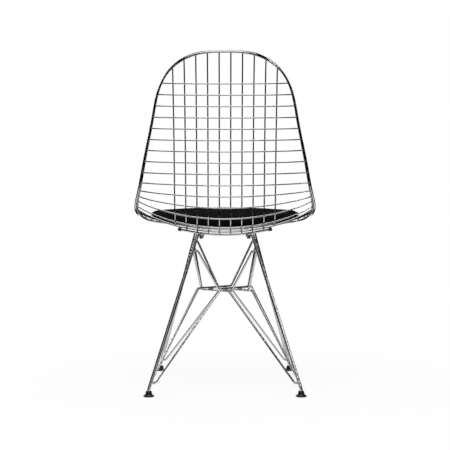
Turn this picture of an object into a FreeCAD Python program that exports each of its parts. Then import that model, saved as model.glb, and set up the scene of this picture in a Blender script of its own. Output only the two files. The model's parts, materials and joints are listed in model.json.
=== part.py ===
import FreeCAD, Part
import math
import os

# A dining chair with a one-piece wire shell on a splayed rod base.
# Millimetres. +Z is up, the chair faces -Y and is symmetric about X = 0.
# The origin is on the floor, under the middle of the chair.

# Wire shell
WIRE = 3.3                   # mesh wire diameter
RIM_WIRE = 5.2               # each of the two edge wires
LENGTH_WIRES = 10            # wires that run down the back and out along the seat
LENGTH_PITCH = 27.7          # between two length wires
CROSS_WIRES = 28             # wires that run from side to side
CROSS_PITCH = 27.55          # between two cross wires, along the centre line
FIRST_CROSS = 78.8           # from the top edge to the first cross wire
FLANK_RUN = 42.0             # longest straight run of a cross wire on the side flanks
WELD_GAP = 0.05              # between an edge wire and the wire ends it is welded to

# Centre line of the shell from the top edge to the front edge, as (Y, Z)
CENTRE_LINE = [
    (262, 821), (229, 750), (203, 671), (185, 591), (173, 510), (166, 455), (154, 422.5),
    (132, 402.5), (104, 396.5), (50, 401.5), (-25, 412.5), (-95, 424.5), (-155, 436),
    (-192, 441), (-228, 437), (-252, 426.5), (-264, 414),
]

# How far the shell has come forward and risen, DISH_REACH out from the centre,
# at a distance along the centre line: (distance, forward, rise)
DISH_REACH = 240.0
DISH = [
    (0, 10, 4), (80, 14, 5.5), (190, 23, 6), (270, 38, 9), (327, 46, 12), (382, 57, 38),
    (409, 60, 55), (437, 55, 64), (465, 48, 67), (492, 43, 63), (520, 38, 55), (547, 33, 48),
    (602, 23, 37), (657, 14, 26), (712, 8, 16), (740, 5, 7), (768, 2, -4), (795, 0, -11),
    (850, 0, -9),
]

# Edge of the shell, flattened, as (distance, half width): from the top edge along
# the centre line, and then as the distance that is left to the front edge
EDGE_BACK = [
    (0, 0), (5, 62), (22, 102.5), (47, 132), (92, 158), (160, 174.5), (270, 198.5),
    (354, 214), (437, 224), (492, 226.5), (548, 227.5), (602, 230), (657, 233.5), (712, 234),
]
EDGE_FRONT = [(88, 225), (53, 205), (28, 172), (8, 105), (0, 0)]

# Base
LEG_ROD = 8.5                # leg diameter
BRACE_ROD = 5.6              # brace diameter
BAR_ROD = 8.0                # crossbar under the seat
BAR_HALF = 114.0             # half the crossbar's length
BAR_END_DROP = 1.4           # how far its ends turn away from the wire, to clear the caps
REAR_BAR_WIRE = 15           # the cross wire that the rear crossbar is welded under
FRONT_BAR_WIRE = 22          # the cross wire that the front crossbar is welded under
TOUCH = 0.1                  # left between rods that are welded side by side
REAR_CORNER = 67.0           # sideways place of a rear leg's upper bend
FRONT_CORNER = 74.5          # sideways place of a front leg's upper bend
LEG_BEND = 8.0               # radius of that bend
FOOT_X = 183.0               # a foot's sideways place
FOOT_Y = 215.0               # a foot's place fore and aft
ANKLE_Z = 17.0               # height of the bend above a foot
ANKLE_BEND = 26.0            # radius of that bend
LEG_STEP = 20.0              # largest turn between two short runs of a leg's bend, in degrees

# Bolted joint between a leg and its crossbar
BOLT_X = 57.0                # sideways place of a bolt
EYE = 14.0                   # flattened end of the leg, diameter
EYE_THICK = 4.5              # flattened end of the leg, thickness
STUD = 5.0                   # threaded stud welded into the crossbar
STUD_SINK = 3.0              # how far the stud enters the crossbar
EYE_SINK = 3.5               # how far the rod reaches into the eye
HOLE_ROOM = 0.3              # radial room for the stud in the eye
FIT = 0.05                   # radial room for the stud in the crossbar and nut
NUT_FLATS = 9.0              # dome nut across flats
NUT_HEX = 3.6                # height of its hexagon
NUT_DOME = 3.4               # height of its dome
NUT_DOME_FOOT = 4.2          # radius of its dome at the hexagon
NUT_DOME_WAIST = 3.6         # radius halfway up its dome
NUT_DOME_TOP = 1.6           # radius of its flat top
NUT_WASHER = 13.0            # its washer face, diameter
NUT_WASHER_THICK = 1.0       # its washer face, thickness

# Crossbar end caps
CAP_WALL = 0.7
CAP_SLEEVE = 7.0             # length that covers the crossbar
CAP_END = 1.8                # thickness of the closed end
CAP_CHAMFER = 1.2

# Braces: four closed loops, each from a leg's top to the opposite foot
BRACE_ANGLE = 53.3           # turn of a loop's level runs from the X axis
BRACE_LOW = 244.0            # height of the lower pair's level runs
BRACE_INNER = 27.4           # from the centre to a loop's inner level run
BRACE_START = 64.0           # upper bend of the inner run, back along it
BRACE_BACK = 58.0            # upper bend of the outer run
BRACE_FAR = 81.0             # lower bend of the inner run
BRACE_NEAR = 62.0            # lower bend of the outer run
HAIRPIN_TOP = 34.0           # from the leg's upper bend down to the upper hairpin
HAIRPIN_FOOT = 34.0          # height of the lower hairpin
REAR_SLIDE = 2.5             # how far the rear tops' hairpins stand in from the leg's middle
HAIRPIN = 14.0               # width across a hairpin
HAIRPIN_BEND = 6.5           # radius of its corners
BRACE_BEND = 9.0             # radius of the other bends
BEND_STEP = 30.0             # largest turn between two short runs of a bend, in degrees

# Glides
GLIDE_FLANGE = 26.6          # diameter
GLIDE_RIM = 3.0              # height of the flange's edge
GLIDE_SHOULDER = 17.5        # diameter where the boot meets the flange
GLIDE_TOP = 13.4             # diameter of the boot's top
GLIDE_HEIGHT = 14.2
GLIDE_FLOOR = 4.5            # solid height under the leg
GLIDE_FIT = 0.15             # radial room for the leg
GLIDE_SOLE = 1.0             # chamfer round the sole

# Seat pad
PAD_REAR = 62.0              # Y of its rear end
PAD_FRONT = -206.0           # Y of its front end
PAD_HALF_REAR = 192.0        # half width towards the rear
PAD_HALF_FRONT = 212.0       # half width towards the front
PAD_DRAW_IN = 5.0            # how far the sides are drawn in midway
PAD_CORNER = 3.6             # power of the outline's rounded corners
PAD_END = 0.965              # where the end sections stand, as a share of the half length
PAD_EDGE = 7.0               # thickness at the border
PAD_CROWN = 24.0             # thickness in the middle
PAD_END_CROWN = 17.0         # thickness in the middle of an end
PAD_ROUND = 2.6              # power of the crown's fall towards the sides
PAD_BULGE = 2.0              # how far the border swells
PAD_SWELL = [(0.75, 0.2), (1.0, 0.5), (0.75, 0.8)]  # shares of the bulge and of the border
PAD_GAP = 0.35               # between the pad and the wires it lies on
PAD_SECTIONS = 12            # from its rear end to its front end
PAD_SPANS = 5                # from its middle to a side

MESH_SIDES = 6               # sides of a mesh wire's section
ROD_SIDES = 8                # sides of an edge wire's, a brace's or a stud's section
BAR_SIDES = 12               # sides of a leg's, a crossbar's or a nut's section
GLIDE_SIDES = 20             # sides of a glide
SHORTEST_RUN = 9.0           # no wire has a vertex nearer to its end than this
LONGEST_RUN = 30.0           # longest straight run of an edge wire
EDGE_STEP = 15.0             # largest turn of an edge wire between two mesh wires, in degrees
SLOPE_STEP = 1.0             # step over which slopes are measured


def vec(x, y, z):
    return FreeCAD.Vector(x, y, z)


def unit(v):
    return v / v.Length


def mirrored(shape):
    return shape.mirror(vec(0, 0, 0), vec(1, 0, 0))


def save(name, shape):
    shape.exportStep("parts/" + name + ".step")


# Smooth curves through the driving points

def smooth_line(points):
    curve = Part.BSplineCurve()
    curve.interpolate(points)
    return curve.toShape()


def smooth_table(rows):
    curve = Part.BSplineCurve()
    curve.interpolate(
        Points=[vec(*row) for row in rows],
        Parameters=[float(row[0]) for row in rows],
    )
    return curve


def smooth_edge(back, front, length):
    rows = back + [(length - left, width) for left, width in front]
    curve = Part.BSplineCurve()
    curve.interpolate(
        Points=[vec(distance, width, 0) for distance, width in rows],
        InitialTangent=vec(0, 1, 0),
        FinalTangent=vec(0, -1, 0),
        Scale=False,
    )
    return curve


CENTRE = smooth_line([vec(0, y, z) for y, z in CENTRE_LINE])
DISH_CURVE = smooth_table(DISH)
EDGE_CURVE = smooth_edge(EDGE_BACK, EDGE_FRONT, CENTRE.Length)


def solve(rises, low, high):
    """The value between low and high where rises() turns from negative to positive."""
    for _ in range(40):
        middle = (low + high) / 2
        if rises(middle) < 0:
            low = middle
        else:
            high = middle
    return (low + high) / 2


# The shell's surface: a place on it is a distance along the centre line and an X

def sheet(distance, x):
    """The point on the shell's middle surface."""
    along = min(max(distance, 0.0), CENTRE.Length)
    centre = CENTRE.valueAt(CENTRE.getParameterByLength(along))
    dish = DISH_CURVE.value(distance)
    reach_squared = DISH_REACH ** 2 + dish.y ** 2 + dish.z ** 2
    curl = 2 / reach_squared
    bend = curl * math.hypot(dish.y, dish.z)
    share = x * x * curl / (1 + math.sqrt(1 - (bend * x) ** 2))
    return vec(x, centre.y - dish.y * share, centre.z + dish.z * share)


def facing(distance, x):
    """The surface's normal, on the sitter's side."""
    down = sheet(distance + SLOPE_STEP, x) - sheet(distance - SLOPE_STEP, x)
    across = sheet(distance, x + SLOPE_STEP) - sheet(distance, x - SLOPE_STEP)
    return unit(down.cross(across))


def shell_point(distance, x, lift):
    return sheet(distance, x) + facing(distance, x) * lift


def widest_parameter():
    first, last = EDGE_CURVE.FirstParameter, EDGE_CURVE.LastParameter
    return solve(lambda u: -EDGE_CURVE.tangent(u)[0].y, (first + last) / 2, last)


WIDEST = widest_parameter()


def edge_by_distance(distance):
    """Parameter of the edge curve at a distance along the centre line."""
    first, last = EDGE_CURVE.FirstParameter, EDGE_CURVE.LastParameter
    return solve(lambda u: EDGE_CURVE.value(u).x - distance, first, last)


def edge_by_width(width, front):
    """Parameter of the edge curve where it is this far out, in front or at the top."""
    if front:
        return solve(lambda u: width - EDGE_CURVE.value(u).y, WIDEST, EDGE_CURVE.LastParameter)
    return solve(lambda u: EDGE_CURVE.value(u).y - width, EDGE_CURVE.FirstParameter, WIDEST)


def edge_at_distance(distance):
    """Half width of the shell at a distance along the centre line."""
    return EDGE_CURVE.value(edge_by_distance(distance)).y


def edge_at_width(width, front):
    """Distance along the centre line where the edge is this far out."""
    return EDGE_CURVE.value(edge_by_width(width, front)).x


# Rods whose bends are mitred, with a regular section of flat sides

def section_radius(diameter, sides):
    """Corner radius of a section that has the area of the round one."""
    turn = 2 * math.pi / sides
    return diameter / 2 * math.sqrt(2 * math.pi / (sides * math.sin(turn)))


def first_ring(point, along, up, diameter, sides):
    side = unit(along.cross(up))
    top = side.cross(along)
    radius = section_radius(diameter, sides)
    ring = []
    for k in range(sides):
        angle = (k + 0.5) * 2 * math.pi / sides
        ring.append(point + (top * math.cos(angle) + side * math.sin(angle)) * radius)
    return ring


def carried_ring(ring, along, point, plane):
    """The ring slid along its run to the plane through the next point."""
    moved = []
    for corner in ring:
        travel = (point - corner).dot(plane) / along.dot(plane)
        moved.append(corner + along * travel)
    return moved


def rod_rings(points, diameter, up, sides, first_plane=None, last_plane=None):
    runs = [unit(b - a) for a, b in zip(points, points[1:])]
    planes = [first_plane or runs[0]]
    planes += [unit(a + b) for a, b in zip(runs, runs[1:])]
    planes += [last_plane or runs[-1]]
    ring = first_ring(points[0], runs[0], up, diameter, sides)
    rings = [carried_ring(ring, runs[0], points[0], planes[0])]
    for run, point, plane in zip(runs, points[1:], planes[1:]):
        rings.append(carried_ring(rings[-1], run, point, plane))
    return rings


def flat_face(corners):
    return Part.Face(Part.makePolygon(corners + [corners[0]]))


def band(ring, other):
    """Flat faces between two rings."""
    faces = []
    count = len(ring)
    for k in range(count):
        after = (k + 1) % count
        faces.append(flat_face([ring[k], ring[after], other[after], other[k]]))
    return faces


def folded_band(ring, other):
    """Faces between two rings that need not be parallel, each in two halves."""
    faces = []
    count = len(ring)
    for k in range(count):
        after = (k + 1) % count
        faces.append(flat_face([ring[k], ring[after], other[after]]))
        faces.append(flat_face([ring[k], other[after], other[k]]))
    return faces


def closed_solid(faces):
    shell = Part.Shell(faces)
    shell.sewShape()
    solid = Part.Solid(shell)
    if solid.Volume < 0:
        solid.reverse()
    return solid


def open_rod(points, diameter, up, sides):
    rings = rod_rings(points, diameter, up, sides)
    faces = [flat_face(rings[0]), flat_face(rings[-1])]
    for ring, other in zip(rings, rings[1:]):
        faces += band(ring, other)
    return closed_solid(faces)


def turned(profile, sides):
    """A solid round the Z axis through (radius, height) pairs, flat at both ends."""
    rings = []
    for radius, height in profile:
        rings.append(first_ring(vec(0, 0, height), vec(0, 0, 1), vec(1, 0, 0), 2 * radius, sides))
    faces = [flat_face(rings[0]), flat_face(rings[-1])]
    for ring, other in zip(rings, rings[1:]):
        faces += band(ring, other)
    return closed_solid(faces)


def mirrored_loop(points, diameter, up, sides):
    """A closed rod from its right half, whose ends lie on X = 0."""
    middle = vec(1, 0, 0)
    rings = rod_rings(points, diameter, up, sides, middle, middle)
    faces = []
    for ring, other in zip(rings, rings[1:]):
        faces += band(ring, other)
    return closed_solid(faces + [mirrored(face) for face in faces])


def turned_loop(points, diameter, sides):
    """A closed rod through any points; the section's twist is shared out along it."""
    closed = points + [points[0]]
    runs = [unit(b - a) for a, b in zip(closed, closed[1:])]
    joint = unit(runs[-1] + runs[0])
    rings = rod_rings(closed, diameter, vec(0, 0, 1), sides, joint, joint)
    start = rings[0][0] - points[0]
    turns = [turn_about(joint, start, corner - points[0]) for corner in rings[-1]]
    shift = min(range(sides), key=lambda k: abs(turns[k]))
    angle = turns[shift]
    total = sum((b - a).Length for a, b in zip(closed, closed[1:]))
    passed = 0.0
    spun = []
    for k, ring in enumerate(rings[:-1]):
        if k:
            passed += (closed[k] - closed[k - 1]).Length
        plane = unit(runs[k - 1] + runs[k])
        spun.append(spun_ring(ring, closed[k], runs[k], plane, -angle * passed / total))
    spun.append(spun[0][-shift:] + spun[0][:-shift] if shift else spun[0])
    faces = []
    for ring, other in zip(spun, spun[1:]):
        faces += folded_band(ring, other)
    return closed_solid(faces)


def turn_about(axis, start, end):
    """Angle from one direction to another about an axis."""
    return math.atan2(start.cross(end).dot(axis), start.dot(end))


def spun_ring(ring, point, along, plane, angle):
    """A ring turned about its run and set back on its plane."""
    turn = FreeCAD.Rotation(along, math.degrees(angle))
    spun = [point + turn.multVec(corner - point) for corner in ring]
    return carried_ring(spun, along, point, plane)


def rounded(corners, radii, step, closed):
    """The corners of a path, each replaced by short runs round its bend."""
    count = len(corners)
    points = []
    for k, (corner, radius) in enumerate(zip(corners, radii)):
        if not closed and k in (0, count - 1):
            points.append(corner)
            continue
        back = unit(corners[k - 1] - corner)
        on = unit(corners[(k + 1) % count] - corner)
        opening = back.getAngle(on)
        turn = math.pi - opening
        inward = unit(back + on)
        centre = corner + inward * (radius / math.sin(opening / 2))
        start = corner + back * (radius / math.tan(opening / 2)) - centre
        axis = unit(start.cross(corner - centre))
        runs = max(1, math.ceil(math.degrees(turn) / step))
        for n in range(runs + 1):
            part = FreeCAD.Rotation(axis, math.degrees(turn) * n / runs)
            points.append(centre + part.multVec(start))
    return points


# Wires of the shell

def cross_distance(number):
    return FIRST_CROSS + (number - 1) * CROSS_PITCH


def length_places():
    return [(k - (LENGTH_WIRES - 1) / 2) * LENGTH_PITCH for k in range(LENGTH_WIRES)]


CROSS_PLACES = [cross_distance(n) for n in range(1, CROSS_WIRES + 1)]
LENGTH_PLACES = length_places()
LAYER = WIRE / 2
EDGE_LIFT = WIRE / 2 + RIM_WIRE / 2 + WELD_GAP


def flank_places(inner, outer):
    """Sideways places that split a flank into runs no longer than FLANK_RUN."""
    runs = max(1, math.ceil((outer - inner) / FLANK_RUN))
    return [inner + (outer - inner) * k / runs for k in range(1, runs)]


def cross_wire(number):
    distance = cross_distance(number)
    half = edge_at_distance(distance)
    inside = [x for x in LENGTH_PLACES if x > 0 and x < half - SHORTEST_RUN]
    places = inside + flank_places(inside[-1], half)
    right = [shell_point(distance, x, -LAYER) for x in places]
    right.append(shell_point(distance, half, 0))
    left = [vec(-p.x, p.y, p.z) for p in reversed(right)]
    points = left + right
    return open_rod(points, WIRE, facing(distance, -half), MESH_SIDES)


def length_wire(x):
    top = edge_at_width(abs(x), False)
    front = edge_at_width(abs(x), True)
    stations = list(CROSS_PLACES)
    while stations[0] - CROSS_PITCH > top + SHORTEST_RUN:
        stations.insert(0, stations[0] - CROSS_PITCH)
    while stations[-1] + CROSS_PITCH < front - SHORTEST_RUN:
        stations.append(stations[-1] + CROSS_PITCH)
    inside = [d for d in stations if top + SHORTEST_RUN < d < front - SHORTEST_RUN]
    points = [shell_point(top, x, 0)]
    points += [shell_point(d, x, LAYER) for d in inside]
    points.append(shell_point(front, x, 0))
    return open_rod(points, WIRE, facing(top, x), MESH_SIDES)


def edge_point(parameter, lift):
    place = EDGE_CURVE.value(parameter)
    return shell_point(place.x, place.y, lift)


def edge_along(parameter):
    """The way the edge runs at a place."""
    step = (EDGE_CURVE.LastParameter - EDGE_CURVE.FirstParameter) / 1000
    start = max(parameter - step, EDGE_CURVE.FirstParameter)
    end = min(parameter + step, EDGE_CURVE.LastParameter)
    return edge_point(end, 0) - edge_point(start, 0)


def edge_marks():
    """Places round the right half of the edge where the mesh wires end."""
    marks = [edge_by_distance(distance) for distance in CROSS_PLACES]
    for x in LENGTH_PLACES:
        if x > 0:
            marks += [edge_by_width(x, False), edge_by_width(x, True)]
    return sorted(marks)


def edge_stations():
    """The marks and both ends, with places between them where they stand far apart."""
    kept = [EDGE_CURVE.FirstParameter]
    for mark in edge_marks():
        if (edge_point(mark, 0) - edge_point(kept[-1], 0)).Length > SHORTEST_RUN:
            kept.append(mark)
    kept.append(EDGE_CURVE.LastParameter)
    stations = [kept[0]]
    for before, after in zip(kept, kept[1:]):
        gap = (edge_point(after, 0) - edge_point(before, 0)).Length
        turn = math.degrees(edge_along(before).getAngle(edge_along(after)))
        runs = math.ceil(max(gap / LONGEST_RUN, turn / EDGE_STEP))
        stations += [before + (after - before) * k / runs for k in range(1, runs + 1)]
    return stations


def edge_wire(side):
    points = [edge_point(station, side * EDGE_LIFT) for station in edge_stations()]
    return mirrored_loop(points, RIM_WIRE, facing(0.0, 0.0), ROD_SIDES)


# Base

BAR_DROP = LAYER + WIRE / 2 + BAR_ROD / 2 + TOUCH
STUD_FOOT = BAR_ROD / 2 - STUD_SINK
EYE_FACE = BAR_ROD / 2 + TOUCH
NUT_FACE = EYE_FACE + EYE_THICK + TOUCH
LEG_CORNERS = section_radius(LEG_ROD, BAR_SIDES)
BRACE_CORNERS = section_radius(BRACE_ROD, ROD_SIDES)
BRACE_PITCH = 2 * BRACE_CORNERS + TOUCH


def bar_point(number, x):
    """A point on the axis of the crossbar under a cross wire."""
    return shell_point(cross_distance(number), x, -BAR_DROP)


def bar_down(number, x):
    return facing(cross_distance(number), x) * -1


def bar_along(number, x):
    return unit(bar_point(number, x + SLOPE_STEP) - bar_point(number, x - SLOPE_STEP))


def bar_frame(number, x):
    """Placement on a crossbar's axis: X along the bar, Z away from the seat."""
    down = bar_down(number, x)
    along = bar_along(number, x)
    side = unit(down.cross(along))
    turn = FreeCAD.Rotation(side.cross(down), side, down, "ZXY")
    return FreeCAD.Placement(bar_point(number, x), turn)


def stud_prism(frame, room, start, end):
    """A stud or its hole, between two distances from a crossbar's axis."""
    radius = STUD / 2 + room
    prism = turned([(radius, start), (radius, end)], ROD_SIDES)
    prism.Placement = frame
    return prism


def stud_solid(frame):
    return stud_prism(frame, 0, STUD_FOOT, NUT_FACE + NUT_WASHER_THICK + NUT_HEX)


def bar_points(number):
    places = [x for x in LENGTH_PLACES if abs(x) < BAR_HALF - SHORTEST_RUN]
    ends = [bar_point(number, x) + bar_down(number, x) * BAR_END_DROP for x in (-BAR_HALF, BAR_HALF)]
    return [ends[0]] + [bar_point(number, x) for x in places] + [ends[1]]


def crossbar(number):
    up = facing(cross_distance(number), -BAR_HALF)
    bar = open_rod(bar_points(number), BAR_ROD, up, BAR_SIDES)
    for x in (-BOLT_X, BOLT_X):
        bar = bar.cut(stud_prism(bar_frame(number, x), FIT, STUD_FOOT, BAR_ROD))
    return bar


def end_cap(number):
    """The cap on a crossbar's right end: a cup, drawn with the bar along Z."""
    bore = BAR_ROD / 2 + FIT
    outer = bore + CAP_WALL
    cap = turned([
        (bore, 0), (bore, -CAP_SLEEVE), (outer, -CAP_SLEEVE),
        (outer, CAP_END - CAP_CHAMFER), (outer - CAP_CHAMFER, CAP_END),
    ], BAR_SIDES)
    before, end = bar_points(number)[-2:]
    out = unit(end - before)
    side = unit(out.cross(facing(cross_distance(number), BAR_HALF)))
    turn = FreeCAD.Rotation(side.cross(out), side, out, "ZXY")
    cap.Placement = FreeCAD.Placement(end + out * TOUCH, turn)
    return cap


def dome_nut(frame):
    corner = NUT_FLATS / math.sqrt(3)
    corners = []
    for k in range(6):
        angle = k * math.pi / 3
        corners.append(vec(corner * math.cos(angle), corner * math.sin(angle), NUT_FACE))
    washer = turned([
        (NUT_WASHER / 2, NUT_FACE), (NUT_WASHER / 2, NUT_FACE + NUT_WASHER_THICK),
    ], BAR_SIDES)
    hexagon = flat_face(corners).extrude(vec(0, 0, NUT_WASHER_THICK + NUT_HEX))
    base = NUT_FACE + NUT_WASHER_THICK + NUT_HEX
    dome = turned([
        (NUT_DOME_FOOT, base), (NUT_DOME_WAIST, base + NUT_DOME / 2),
        (NUT_DOME_TOP, base + NUT_DOME),
    ], BAR_SIDES)
    nut = washer.fuse(hexagon).fuse(dome).removeSplitter()
    nut.Placement = frame
    return nut.cut(stud_prism(frame, FIT, 0, base + FIT))


def leg_corners(number, fore):
    """The right leg's path, from its eye to its foot; fore is 1 at the rear, -1 in front."""
    down = bar_down(number, BOLT_X)
    eye = bar_point(number, BOLT_X) + down * (EYE_FACE + EYE_THICK / 2)
    side = REAR_CORNER if fore > 0 else FRONT_CORNER
    corner = bar_point(number, side)
    corner += bar_down(number, side) * (BAR_ROD / 2 + TOUCH + LEG_ROD / 2)
    ankle = vec(FOOT_X, fore * FOOT_Y, ANKLE_Z)
    foot = vec(FOOT_X, fore * FOOT_Y, GLIDE_FLOOR + TOUCH)
    return [eye, corner, ankle, foot]


def leg(number, fore):
    eye, corner, ankle, foot = leg_corners(number, fore)
    start = eye + unit(corner - eye) * (EYE / 2 - EYE_SINK)
    path = rounded([start, corner, ankle, foot], [0, LEG_BEND, ANKLE_BEND, 0], LEG_STEP, False)
    rod = open_rod(path, LEG_ROD, bar_down(number, BOLT_X), BAR_SIDES)
    frame = bar_frame(number, BOLT_X)
    above = Part.makeBox(4 * EYE, 4 * EYE, BAR_ROD, vec(-2 * EYE, -2 * EYE, EYE_FACE - BAR_ROD))
    above.Placement = frame
    face = EYE_FACE + EYE_THICK
    nut_room = turned([(NUT_WASHER / 2 + FIT, face), (NUT_WASHER / 2 + FIT, face + LEG_ROD)], BAR_SIDES)
    nut_room.Placement = frame
    end = turned([(EYE / 2, EYE_FACE), (EYE / 2, face)], 2 * ROD_SIDES)
    end.Placement = frame
    hole = stud_prism(frame, HOLE_ROOM, 0, NUT_FACE + NUT_HEX)
    return rod.cut(above).cut(nut_room).fuse(end).cut(hole).removeSplitter()


def leg_place(number, fore, height):
    """The leg's axis at a height, on its long straight run."""
    corner, ankle = leg_corners(number, fore)[1:3]
    share = (corner.z - height) / (corner.z - ankle.z)
    return corner + (ankle - corner) * share


def level_places(height):
    """Bends of the level runs of the loop from the rear left to the front right."""
    angle = math.radians(BRACE_ANGLE)
    along = vec(math.cos(angle), -math.sin(angle), 0)
    out = vec(math.sin(angle), math.cos(angle), 0)
    outer = BRACE_INNER + BRACE_PITCH
    lift = vec(0, 0, height)
    return [
        lift + out * BRACE_INNER - along * BRACE_START,
        lift + out * BRACE_INNER + along * BRACE_FAR,
        lift - out * outer + along * BRACE_NEAR,
        lift - out * outer - along * BRACE_BACK,
    ]


def hairpin(axis, run, first, second, slide):
    """Two corners of a hairpin that rests on a leg's inner side, first one first."""
    toward = (first + second) / 2 - axis
    toward = unit(toward - run * toward.dot(run))
    middle = axis + toward * (LEG_CORNERS + BRACE_CORNERS + TOUCH / 2)
    spread = unit(first - middle) - unit(second - middle)
    spread = unit(spread - toward * spread.dot(toward))
    middle += spread * slide
    return [middle + spread * (HAIRPIN / 2), middle - spread * (HAIRPIN / 2)]


def brace_loop(level, rear):
    """A loop from one top, at the rear left or front right, to the opposite foot."""
    upper, lower = (REAR_BAR_WIRE, FRONT_BAR_WIRE) if rear else (FRONT_BAR_WIRE, REAR_BAR_WIRE)
    fore = 1 if rear else -1
    start, far, near, back = level_places(level)
    if not rear:
        start, far, near, back = [vec(-p.x, -p.y, p.z) for p in (start, far, near, back)]

    def on_side(point, sign):
        return vec(sign * point.x, point.y, point.z)

    height = leg_corners(upper, fore)[1].z - HAIRPIN_TOP
    top = on_side(leg_place(upper, fore, height), -fore)
    top_low = on_side(leg_place(upper, fore, height - SLOPE_STEP), -fore)
    foot = on_side(leg_place(lower, -fore, HAIRPIN_FOOT), fore)
    foot_low = on_side(leg_place(lower, -fore, HAIRPIN_FOOT - SLOPE_STEP), fore)
    pins = hairpin(top, unit(top_low - top), start, back, REAR_SLIDE if rear else 0)
    feet = hairpin(foot, unit(foot_low - foot), far, near, 0)
    corners = [pins[0], start, far, feet[0], feet[1], near, back, pins[1]]
    radii = [HAIRPIN_BEND, BRACE_BEND, BRACE_BEND, HAIRPIN_BEND] * 2
    return turned_loop(rounded(corners, radii, BEND_STEP, True), BRACE_ROD, ROD_SIDES)


def glide(fore):
    bore = LEG_CORNERS + GLIDE_FIT
    flange = GLIDE_FLANGE / 2
    solid = turned([
        (bore, GLIDE_FLOOR), (bore, GLIDE_HEIGHT - GLIDE_SOLE), (GLIDE_TOP / 2, GLIDE_HEIGHT),
        (GLIDE_SHOULDER / 2, GLIDE_RIM + GLIDE_SOLE), (flange, GLIDE_RIM - GLIDE_SOLE),
        (flange, GLIDE_SOLE), (flange - GLIDE_SOLE, 0),
    ], GLIDE_SIDES)
    solid.translate(vec(FOOT_X, fore * FOOT_Y, 0))
    return solid


# Seat pad: level sections from rear to front, with a crowned top

def wire_top(x, y):
    """Height of the wires' upper side, straight above a place on the seat."""
    low = cross_distance(REAR_BAR_WIRE) - 3 * CROSS_PITCH
    high = CENTRE.Length
    at = solve(lambda d: y - sheet(d, x).y, low, high)
    normal = facing(at, x)
    lift = (LAYER + WIRE / 2 + PAD_GAP) / normal.z
    return sheet(at, x).z + lift


def pad_half(share):
    """Half width of the pad, from -1 at its rear end to 1 at its front end."""
    straight = (PAD_HALF_FRONT + PAD_HALF_REAR + (PAD_HALF_FRONT - PAD_HALF_REAR) * share) / 2
    corner = (1 - abs(share) ** PAD_CORNER) ** (1 / PAD_CORNER)
    return straight * corner - PAD_DRAW_IN * (1 - share * share)


def pad_ring(share):
    """Corners of a level section: along the underside, round the border, back on top."""
    middle = (PAD_REAR + PAD_FRONT) / 2
    y = middle + (PAD_FRONT - PAD_REAR) / 2 * share
    half = pad_half(share)
    crown = PAD_END_CROWN + (PAD_CROWN - PAD_END_CROWN) * (1 - share * share)
    under = []
    top = []
    for k in range(PAD_SPANS + 1):
        side = k / PAD_SPANS
        z = wire_top(half * side, y)
        under.append(vec(half * side, y, z))
        top.append(vec(half * side, y, z + PAD_EDGE + (crown - PAD_EDGE) * (1 - side ** PAD_ROUND)))
    border = under[-1].z
    swell = [vec(half + PAD_BULGE * out, y, border + PAD_EDGE * up) for out, up in PAD_SWELL]
    right = under + swell + top[::-1]
    left = [vec(-p.x, p.y, p.z) for p in right[::-1] if p.x > 0]
    return right + left


def seat_pad():
    rings = []
    for k in range(PAD_SECTIONS + 1):
        rings.append(pad_ring(-math.cos(math.pi * k / PAD_SECTIONS) * PAD_END))
    faces = [flat_face(rings[0]), flat_face(rings[-1])]
    for ring, other in zip(rings, rings[1:]):
        faces += folded_band(ring, other)
    return closed_solid(faces)


# The chair

def main():
    os.makedirs("parts", exist_ok=True)
    save("edge_wire_inner", edge_wire(1))
    save("edge_wire_outer", edge_wire(-1))
    for number in range(1, CROSS_WIRES + 1):
        save("cross_wire_%02d" % number, cross_wire(number))
    for number, x in enumerate(LENGTH_PLACES, 1):
        save("length_wire_%02d" % number, length_wire(x))

    bars = {"rear": REAR_BAR_WIRE, "front": FRONT_BAR_WIRE}
    caps = []
    studs = []
    nuts = []
    for place, number in bars.items():
        fore = 1 if place == "rear" else -1
        save("crossbar_" + place, crossbar(number))
        right_leg = leg(number, fore)
        save("leg_%s_right" % place, right_leg)
        save("leg_%s_left" % place, mirrored(right_leg))
        right_glide = glide(fore)
        save("glide_%s_right" % place, right_glide)
        save("glide_%s_left" % place, mirrored(right_glide))
        frame = bar_frame(number, BOLT_X)
        for solid, group in ((stud_solid(frame), studs), (dome_nut(frame), nuts)):
            group += [solid, mirrored(solid)]
        cap = end_cap(number)
        caps += [cap, mirrored(cap)]
    save("crossbar_caps", Part.makeCompound(caps))
    save("leg_studs", Part.makeCompound(studs))
    save("dome_nuts", Part.makeCompound(nuts))

    upper = BRACE_LOW + BRACE_PITCH
    save("brace_from_rear_left", brace_loop(BRACE_LOW, True))
    save("brace_from_front_right", brace_loop(BRACE_LOW, False))
    save("brace_from_rear_right", mirrored(brace_loop(upper, True)))
    save("brace_from_front_left", mirrored(brace_loop(upper, False)))

    save("seat_pad", seat_pad())


main()
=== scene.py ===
"""A dining chair with a wire mesh shell on a splayed base of bent and welded rods."""

import json
import math

import bmesh
import bpy
from mathutils import Matrix, Vector
from mathutils.bvhtree import BVHTree
from mathutils.kdtree import KDTree

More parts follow.
